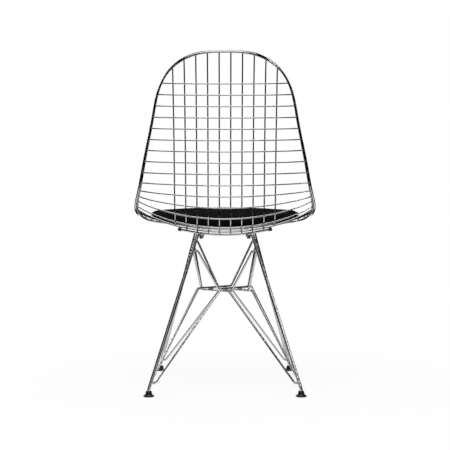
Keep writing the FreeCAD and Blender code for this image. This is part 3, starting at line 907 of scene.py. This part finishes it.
def bent_points(points, radii, steps):
    """The path's points with each inner corner bent to its radius."""
    path = [points[0]]
    for before, corner, after, radius in zip(points, points[1:], points[2:], radii):
        back = (before - corner).normalized()
        on = (after - corner).normalized()
        opening = back.angle(on)
        centre = corner + (back + on).normalized() * (radius / math.sin(opening / 2))
        start = corner + back * (radius / math.tan(opening / 2)) - centre
        axis = start.cross(corner - centre)
        for k in range(steps + 1):
            turn = Matrix.Rotation((math.pi - opening) * k / steps, 3, axis)
            path.append(centre + turn @ start)
    path.append(points[-1])
    return path


def leg_rings(points, down, settings, steps=20, taper=8):
    """Sections of a leg: an oval eye, a taper to the round rod, and the rod to its foot."""
    half_eye = settings.eye / 2
    half_rod = settings.leg / 2
    half_thick = settings.eye_thickness / 2
    start, start_width = half_eye * 0.35, half_eye * 0.93
    oblong, circle = 5.0, 2.0
    run = (points[1] - points[0]).normalized()
    rings = []
    for k in range(1, steps):
        angle = math.pi * k / steps
        reach = -half_eye * math.cos(angle)
        if reach > start:
            break
        width = half_eye * math.sin(angle)
        rings.append(section(points[0] + run * reach, run, down, width, half_thick, oblong))
    path = bent_points(points, (settings.leg_bend, settings.ankle_bend), 10)
    up = down
    for k in range(taper + 1):
        t = k / taper
        ease = t * t * (3 - 2 * t)
        width = start_width * (1 - ease) + half_rod * ease
        thick = half_thick * (1 - ease) + half_rod * ease
        power = oblong * (1 - ease) + circle * ease
        point, along = walked(path, start + settings.eye_taper * t)
        up = (up - along * up.dot(along)).normalized()
        rings.append(section(point, along, up, width, thick, power))
    gone = 0.0
    for k, point in enumerate(path[1:], 1):
        gone += (point - path[k - 1]).length
        if gone >= start + settings.eye_taper * 1.1:
            along = ahead(path, k).normalized()
            up = (up - along * up.dot(along)).normalized()
            rings.append(section(point, along, up, half_rod, half_rod, circle))
    return rings


def walked(path, distance):
    """The point at a distance along a path, and the path's direction there."""
    for start, end in zip(path, path[1:]):
        step = end - start
        if distance <= step.length:
            return start + step.normalized() * distance, step.normalized()
        distance -= step.length
    raise RuntimeError("the path is shorter than the distance walked")


def section(centre, along, up, half_width, half_thick, power, count=32):
    """A ring between an oblong and a circle, square to the path."""
    side = up.cross(along).normalized()
    high = along.cross(side)
    ring = []
    for k in range(count):
        angle = 2 * math.pi * (k + 0.5) / count
        c, s = math.cos(angle), math.sin(angle)
        ring.append(centre + side * half_width * math.copysign(abs(c) ** (2 / power), c)
                    + high * half_thick * math.copysign(abs(s) ** (2 / power), s))
    return ring


class CHAIR_OT_braces(ChairOperator, bpy.types.Operator):
    """Bend the four closed brace loops and weld them where they cross"""
    bl_idname = "chair.braces"
    bl_label = "Braces"

    def build(self, scene):
        settings = scene.chair_base
        pin, bend = settings.hairpin_bend, settings.brace_bend
        radii = [pin, bend, bend, pin] * 2
        rise = Vector((0, 0, settings.brace_rise))
        loops = {}
        for name, corners in LOOP_PATHS.items():
            loops["brace_from_" + name] = scaled(corners)
            place, side = name.split("_")
            other = "brace_from_%s_%s" % (place, "right" if side == "left" else "left")
            loops[other] = raised_loop(scaled(corners, -1), rise)
        for node, points in loops.items():
            data = bent_curve(node, [(points, radii, True)])
            piece = rods(node + "_round", data, settings.brace, 20, chrome(), 8)
            finished(piece, [node], room=0.002)
        finished(brace_welds(list(loops.values()), settings.brace))


def raised_loop(points, rise):
    """The loop with its level runs raised; its hairpins stay on their legs."""
    pinned = sum(HAIRPINS, ())
    return [point if k in pinned else point + rise for k, point in enumerate(points)]


def brace_welds(loops, rod):
    """Beads where the loops cross each other and where their hairpins meet the legs."""
    places, turns, sizes = [], [], []
    for k, path in enumerate(loops):
        for other in loops[k + 1:]:
            for place, along, across in crossings(path, other, rod * 1.15):
                places.append(place)
                turns.append(frame_at(along, across))
                sizes.append((rod * 0.75, rod * 0.62, rod * 0.6))
    for path in loops:
        for a, b in HAIRPINS:
            middle = (path[a] + path[b]) / 2
            toward = (nearest_leg(middle) - middle).normalized()
            places.append(middle + toward * rod * 0.5)
            turns.append(frame_at(path[a] - path[b], toward))
            sizes.append((rod * 1.1, rod * 0.55, rod * 0.42))
    return beads("brace_welds", places, turns, sizes)


def nearest_leg(place):
    """The point on a leg's long run that is nearest to a place."""
    nearest = []
    for _, (_, start, end, _) in each_leg():
        run = end - start
        share = min(max((place - start).dot(run) / run.length_squared, 0.0), 1.0)
        nearest.append(start + run * share)
    return min(nearest, key=lambda point: (point - place).length)


def crossings(path, other, reach):
    """Where two closed paths of straight runs pass within reach of each other."""
    found = []
    for a, b in zip(path, path[1:] + path[:1]):
        for c, d in zip(other, other[1:] + other[:1]):
            u, v, w = b - a, d - c, a - c
            uu, uv, vv = u.dot(u), u.dot(v), v.dot(v)
            det = uu * vv - uv * uv
            if det < 1e-3 * uu * vv:
                continue
            s = (uv * v.dot(w) - vv * u.dot(w)) / det
            t = (uu * v.dot(w) - uv * u.dot(w)) / det
            if 0 < s < 1 and 0 < t < 1:
                first, second = a + u * s, c + v * t
                if (first - second).length < reach:
                    found.append(((first + second) / 2, u, second - first))
    return found


class CHAIR_OT_dome_nuts(ChairOperator, bpy.types.Operator):
    """Turn the four dome nuts and finish the studs that they hold"""
    bl_idname = "chair.dome_nuts"
    bl_label = "Dome Nuts"

    def build(self, scene):
        settings = scene.chair_fittings
        flats = settings.flats / 2
        corner = flats / math.cos(math.pi / 6)
        washer = settings.washer / 2
        face = settings.nut_start
        crown = face + 0.0046
        rise = 0.0033

        def hexagonal(radius, height, angle):
            """The nut's reach at an angle: six flats above its round washer face."""
            if height < face + 0.0011 or radius < flats * 0.98:
                return radius
            off = (angle + math.pi / 6) % (math.pi / 3) - math.pi / 6
            return min(radius, flats / math.cos(off))

        profile = [
            (0.0026, face), (washer - 0.0002, face), (washer, face + 0.0003),
            (washer - 0.0001, face + 0.0008), (washer - 0.0006, face + 0.00105),
            (corner, face + 0.0013), (corner, face + 0.0041), (flats * 1.04, crown - 0.0001),
            (flats * 0.985, crown),
        ]
        dome = flats * 0.93
        for k in range(9):
            angle = math.pi / 2 * k / 9
            profile.append((dome * math.cos(angle), crown + rise * math.sin(angle)))
        profile.append((0.0001, crown + rise))
        skins = [turned_skin(profile, 48, start, down, hexagonal) for start, down in bolt_lines()]
        piece = mesh_piece("dome_nuts_turned", *joined_skins(skins), chrome())
        finished(piece, ["dome_nuts"], room=0.0015)
        carry_over("leg_studs", weld_chrome())


def carry_over(node, finish):
    """Gives a CAD node that stays in view its finish."""
    materials = NODES[node].data.materials
    materials.clear()
    materials.append(finish)


class CHAIR_OT_glides(ChairOperator, bpy.types.Operator):
    """Turn the four plastic glides"""
    bl_idname = "chair.glides"
    bl_label = "Glides"

    def build(self, scene):
        settings = scene.chair_fittings
        flange = settings.glide_flange / 2
        top = settings.glide_top / 2
        height = settings.glide_height
        bore = scene.chair_base.leg / 2
        profile = eased([
            (bore, 0.0045), (bore, height), (top, height), (flange * 0.64, 0.0060),
            (flange * 0.74, 0.0047), (flange, 0.0033), (flange, 0.0010), (flange * 0.95, 0.0),
            (0.0, 0.0),
        ], 0.0008)
        profile[-1] = (0.0002, 0.0)
        for name, points in each_leg():
            foot = Vector((points[-1].x, points[-1].y, 0.0))
            rings = [[foot + corner for corner in ring] for ring in lathe_rings(profile, 48)]
            piece = mesh_piece("glide_%s_turned" % name, *lofted(rings), plastic())
            finished(piece, ["glide_" + name], room=0.001)


class CHAIR_OT_seat_pad(ChairOperator, bpy.types.Operator):
    """Fill the seat pad's cover by cloth simulation, and sew its corded seam"""
    bl_idname = "chair.seat_pad"
    bl_label = "Seat Pad"

    def build(self, scene):
        settings = scene.chair_pad
        pad = filled_cover(scene, settings)
        seam = border_line(pad)
        data = smooth_curve("pad_piping", [(seam, True)])
        finished(rods("pad_piping", data, settings.piping, 10, cover()))
        data = smooth_curve("pad_stitches", [(stitch_line(pad, seam), True)])
        stitches = grown("pad_stitches", data, stitch_recipe, {
            "Pitch": settings.stitch_pitch, "Length": settings.stitch,
            "Thickness": settings.stitch_thickness, "Material": thread(),
        }, math.pi)
        finished(stitches)
        pad.data.materials.clear()
        pad.data.materials.append(cover())
        finished(pad, ["seat_pad"])


def filled_cover(scene, settings):
    """The pad's solid as a cover that its filling has pushed out."""
    mesh = bpy.data.meshes.new("seat_pad_cover")
    shape = merged("seat_pad")
    bmesh.ops.recalc_face_normals(shape, faces=shape.faces)
    shape.to_mesh(mesh)
    shape.free()
    solid = surface_of(mesh)
    tips = [tip_of(mesh, quarter) for quarter in QUARTERS]
    half_width = max(abs(corner.co.x) for corner in mesh.vertices)
    pad = linked("seat_pad_cover", mesh)
    remesh = pad.modifiers.new("Even faces", "REMESH")
    remesh.mode = "VOXEL"
    remesh.voxel_size = settings.voxel
    flatten(pad)
    mesh = pad.data
    start = [corner.co - corner.normal * settings.tuck for corner in mesh.vertices]
    for corner, place in zip(mesh.vertices, start):
        corner.co = place
    blow_out(scene, pad, settings.pressure)
    mesh = pad.data
    for corner, place in zip(mesh.vertices, start):
        move = corner.co - place
        if move.length > settings.swell:
            corner.co = place + move.normalized() * settings.swell
    pull_sides(mesh, half_width - settings.tuck / 2)
    pull_tips(mesh, tips, settings.tuck)
    hold_in_solid(mesh, solid)
    smooth = pad.modifiers.new("Smooth", "SUBSURF")
    smooth.levels = smooth.render_levels = 1
    flatten(pad)
    pad.data.shade_smooth()
    return pad


def blow_out(scene, pad, pressure, frames=20):
    """Runs the cover as cloth that the filling's pressure swells, and applies the result."""
    cloth = pad.modifiers.new("Cover", "CLOTH")
    fabric = cloth.settings
    fabric.quality = 6
    fabric.mass = 0.3
    fabric.tension_stiffness = fabric.compression_stiffness = 15.0
    fabric.bending_stiffness = 1.0
    fabric.use_pressure = True
    fabric.uniform_pressure_force = pressure
    fabric.effector_weights.gravity = 0.0
    cloth.collision_settings.use_collision = False
    cloth.collision_settings.use_self_collision = False
    cloth.point_cache.frame_start = 1
    cloth.point_cache.frame_end = frames
    for frame in range(1, frames + 1):
        scene.frame_set(frame)
    flatten(pad)


def surface_of(mesh):
    """The mesh's surface, for finding its nearest points and what a line hits."""
    return BVHTree.FromPolygons(
        [corner.co for corner in mesh.vertices], [tuple(face.vertices) for face in mesh.polygons]
    )


def tip_of(mesh, quarter, depth=0.002):
    """The middle of the corners that lie furthest out towards one quarter."""
    reaches = [corner.co.x * quarter[0] + corner.co.y * quarter[1] for corner in mesh.vertices]
    most = max(reaches)
    near = [corner.co for corner, reach in zip(mesh.vertices, reaches) if reach > most - depth]
    return sum(near, Vector()) / len(near)


def pull_sides(mesh, half_width, flank=0.4):
    """Draws the cover's outer share, flank, outwards until it is as wide as it was cut."""
    reach = max(abs(corner.co.x) for corner in mesh.vertices)
    for corner in mesh.vertices:
        share = max(0.0, (abs(corner.co.x) / reach - (1 - flank)) / flank)
        corner.co.x += math.copysign((half_width - reach) * share ** 2, corner.co.x)


def pull_tips(mesh, tips, tuck, spread=0.028):
    """Draws the cover's corners out to the points where its panels are sewn together."""
    for quarter, tip in zip(QUARTERS, tips):
        round_tip = tip_of(mesh, quarter)
        shift = tip - round_tip
        shift = shift * max(0.0, 1 - tuck / max(shift.length, tuck))
        for corner in mesh.vertices:
            away = math.hypot(corner.co.x - round_tip.x, corner.co.y - round_tip.y) / spread
            if away < 1:
                corner.co = corner.co + shift * (1 - away) ** 1.5


def hold_in_solid(mesh, solid, proud=0.0022):
    """Keeps the underside in the solid, off the wires, and the rest no further out than proud."""
    for corner in mesh.vertices:
        place, normal, _, _ = solid.find_nearest(corner.co)
        out = (corner.co - place).dot(normal)
        limit = 0.0 if normal.z < -0.5 else proud
        if out > limit:
            corner.co = corner.co - normal * (out - limit)


def flatten(piece):
    """Applies the piece's modifiers to its mesh."""
    evaluated = piece.evaluated_get(bpy.context.evaluated_depsgraph_get())
    mesh = bpy.data.meshes.new_from_object(evaluated)
    mesh.name = piece.data.name
    piece.modifiers.clear()
    piece.data = mesh


def border_line(pad, count=144):
    """The pad's widest line, smoothed, as the points of its seam."""
    corners = [corner.co for corner in pad.data.vertices]
    low = Vector([min(c[axis] for c in corners) for axis in range(3)])
    high = Vector([max(c[axis] for c in corners) for axis in range(3)])
    middle = (low + high) / 2
    stretch = (high.x - low.x) / (high.y - low.y)
    widest = [None] * count
    for corner in corners:
        angle = math.atan2((corner.y - middle.y) * stretch, corner.x - middle.x)
        place = int((angle / (2 * math.pi) + 0.5) * count) % count
        reach = math.hypot(corner.x - middle.x, (corner.y - middle.y) * stretch)
        if widest[place] is None or reach > widest[place][0]:
            widest[place] = (reach, corner.copy())
    line = [corner for _, corner in widest]
    tips = [max(range(count), key=lambda k: line[k].x * quarter[0] + line[k].y * quarter[1])
            for quarter in QUARTERS]
    for _ in range(3):
        line = [line[k] if k in tips else (line[k - 1] + line[k] * 2 + line[(k + 1) % count]) / 4
                for k in range(count)]
    return line


def stitch_line(pad, seam, inward=0.006):
    """A line on the top of the pad, beside its seam."""
    surface = surface_of(pad.data)
    middle = sum(seam, Vector()) / len(seam)
    line = []
    count = len(seam)
    for k, point in enumerate(seam):
        along = seam[(k + 1) % count] - seam[k - 1]
        side = Vector((-along.y, along.x, 0)).normalized()
        if side.dot(middle - point) < 0:
            side.negate()
        place = point + side * inward
        hit = surface.ray_cast(Vector((place.x, place.y, 1.0)), Vector((0, 0, -1)))[0]
        if hit is None:
            raise RuntimeError("the stitch line leaves the pad")
        line.append(hit)
    return line


class CHAIR_OT_stage(ChairOperator, bpy.types.Operator):
    """Set the camera, the soft lamps, the white floor and the dark screens"""
    bl_idname = "chair.stage"
    bl_label = "Studio Stage"

    def build(self, scene):
        settings = scene.chair_stage
        scene.view_settings.view_transform = "Standard"
        camera = linked("camera", bpy.data.cameras.new("camera"))
        camera.location = (0.0, settings.distance, settings.height)
        camera.rotation_euler = (math.radians(90), 0.0, math.radians(180))
        camera.data.lens = settings.lens
        camera.data.sensor_width = 36.0
        camera.data.shift_y = settings.shift
        camera.data.clip_end = 60.0
        scene.camera = camera
        soft_lamp("soft_light", (0.2, 0.4, 2.6), (0, 0, 0.3), 2.4, settings.soft_light)
        soft_lamp("fill_left", (-1.9, 1.7, 1.5), (0, 0, 0.4), 0.7, settings.fill_light)
        soft_lamp("fill_right", (2.1, -1.2, 1.6), (0, 0, 0.4), 0.7, settings.fill_light)
        white_room(scene, settings.room)
        mesh_piece("floor", *floor_plate(), floor_finish("studio_floor"))
        if settings.screens:
            dark_screens()


def soft_lamp(name, place, target, size, power):
    """A round area lamp at a place, turned to a target."""
    lamp = bpy.data.lights.new(name, "AREA")
    lamp.shape = "DISK"
    lamp.size = size
    lamp.energy = power
    holder = linked(name, lamp)
    holder.location = place
    holder.rotation_euler = (Vector(target) - Vector(place)).to_track_quat("-Z", "Y").to_euler()


def seen_by_rays(nodes):
    """One where a camera, glossy or transmission ray looks, and zero for other light."""
    path = nodes.step("ShaderNodeLightPath")
    seen = path.outputs["Is Camera Ray"]
    for label in ("Is Glossy Ray", "Is Transmission Ray"):
        seen = nodes.math("MAXIMUM", seen, path.outputs[label])
    return seen


def white_room(scene, strength):
    """Surroundings that look white, and light the chair with the strength given."""
    scene.world = bpy.data.worlds.new("white_room")
    scene.world.use_nodes = True
    nodes = Nodes(scene.world.node_tree)
    back = nodes.tree.nodes["Background"]
    nodes.feed(back.inputs["Color"], (1, 1, 1, 1))
    level = nodes.spread(seen_by_rays(nodes), strength, 1.0, 0.0, 1.0)
    nodes.feed(back.inputs["Strength"], level)


def floor_plate(sides=64, radii=(0.6, 1.2, 3.0, 12.0)):
    """Corners and faces of a round plate on the ground, in rings."""
    corners = []
    for radius in radii:
        for k in range(sides):
            angle = 2 * math.pi * k / sides
            corners.append((radius * math.cos(angle), radius * math.sin(angle), 0.0))
    faces = [tuple(range(sides))]
    for row in range(len(radii) - 1):
        for k in range(sides):
            after = (k + 1) % sides
            base = row * sides
            faces.append((base + k, base + sides + k, base + sides + after, base + after))
    return corners, faces


def bare_material(name):
    """A material without nodes, and the tree to put them in."""
    material = bpy.data.materials.new(name)
    material.use_nodes = True
    material.node_tree.nodes.clear()
    return material, Nodes(material.node_tree)


def floor_finish(name):
    """Pale floor: white to the camera, with the chair's faint shadow near the feet."""
    material, nodes = bare_material(name)
    place = nodes.step("ShaderNodeTexCoord").outputs["Object"]
    reach = nodes.step("ShaderNodeVectorMath", {"operation": "LENGTH"}, Vector=place)
    white_share = nodes.spread(reach.outputs["Value"], 0.88, 1.0, 0.45, 1.1)
    grain = nodes.step("ShaderNodeTexNoise", Vector=place, Scale=40.0).outputs["Fac"]
    matt = nodes.step("ShaderNodeBsdfDiffuse", Color=nodes.spread(grain, 0.98, 1.0, 0.0, 1.0))
    white = nodes.step("ShaderNodeEmission", Color=(1, 1, 1, 1))
    mix = nodes.step(
        "ShaderNodeMixShader", Fac=nodes.math("MULTIPLY", seen_by_rays(nodes), white_share)
    )
    nodes.feed(mix.inputs[1], matt.outputs["BSDF"])
    nodes.feed(mix.inputs[2], white.outputs["Emission"])
    nodes.step("ShaderNodeOutputMaterial", Surface=mix.outputs["Shader"])
    return material


def screen_finish(name):
    """The matt black of the screens."""
    material, nodes = bare_material(name)
    dark = nodes.step("ShaderNodeEmission", Color=(0.004, 0.004, 0.0045, 1))
    nodes.step("ShaderNodeOutputMaterial", Surface=dark.outputs["Emission"])
    return material


def dark_screen(name, corners, faces):
    """A dark screen that only reflections show, as the black cards beside a chrome object."""
    screen = mesh_piece(name, corners, faces, made_once("dark_screen", screen_finish))
    screen.visible_camera = False
    screen.visible_diffuse = False
    screen.visible_shadow = False
    screen.visible_transmission = False


def arc_band(inner, outer, middle, sweep, steps=8):
    """A curved band between two (radius, height) edges."""
    corners, faces = [], []
    for k in range(steps + 1):
        angle = middle - sweep / 2 + sweep * k / steps
        for radius, height in (inner, outer):
            corners.append((radius * math.cos(angle), radius * math.sin(angle), height))
    for k in range(steps):
        faces.append((2 * k, 2 * k + 1, 2 * k + 3, 2 * k + 2))
    return corners, faces


def dark_screens():
    """Upright screens on both sides with gaps between, a ring overhead and one on the floor."""
    for number, (start, end) in enumerate(SCREEN_SPANS):
        for name, side in SIDES:
            middle = math.pi / 2 + side * math.radians((start + end) / 2)
            foot, head = (SCREEN_REACH, 0.0), (SCREEN_REACH, SCREEN_HEIGHT)
            band = arc_band(foot, head, middle, math.radians(end - start))
            dark_screen("dark_screen_%s_%d" % (name, number), *band)
    rings = {
        "dark_ring_above": ((OPENING_ABOVE, SCREEN_HEIGHT), (SCREEN_REACH, SCREEN_HEIGHT)),
        "dark_ring_below": ((OPENING_BELOW, 0.004), (SCREEN_REACH - 0.1, 0.004)),
    }
    for name, (inner, outer) in rings.items():
        dark_screen(name, *arc_band(inner, outer, 0.0, 2 * math.pi, 48))


class CHAIR_PT_panel(bpy.types.Panel):
    """Settings and pieces of the chair"""
    bl_idname = "CHAIR_PT_panel"
    bl_label = "Wire Mesh Chair"
    bl_space_type = "VIEW_3D"
    bl_region_type = "UI"
    bl_category = "Chair"

    def draw(self, context):
        for name in SETTINGS:
            box = self.layout.box()
            group = getattr(context.scene, name)
            for key in group.__annotations__:
                box.prop(group, key)
        for operator in OPERATORS:
            self.layout.operator(operator.bl_idname)


OPERATORS = [
    CHAIR_OT_mesh_wires,
    CHAIR_OT_edge_wires,
    CHAIR_OT_welds,
    CHAIR_OT_crossbars,
    CHAIR_OT_end_caps,
    CHAIR_OT_legs,
    CHAIR_OT_braces,
    CHAIR_OT_dome_nuts,
    CHAIR_OT_glides,
    CHAIR_OT_seat_pad,
    CHAIR_OT_stage,
]


def register():
    for name, group in SETTINGS.items():
        bpy.utils.register_class(group)
        setattr(bpy.types.Scene, name, bpy.props.PointerProperty(type=group))
    for kind in [*OPERATORS, CHAIR_PT_panel]:
        bpy.utils.register_class(kind)


def unregister():
    for kind in reversed([*OPERATORS, CHAIR_PT_panel]):
        bpy.utils.unregister_class(kind)
    for name, group in reversed(SETTINGS.items()):
        delattr(bpy.types.Scene, name)
        bpy.utils.unregister_class(group)


def main():
    register()
    for operator in OPERATORS:
        group, name = operator.bl_idname.split(".")
        getattr(getattr(bpy.ops, group), name)()


if __name__ == "__main__":
    main()
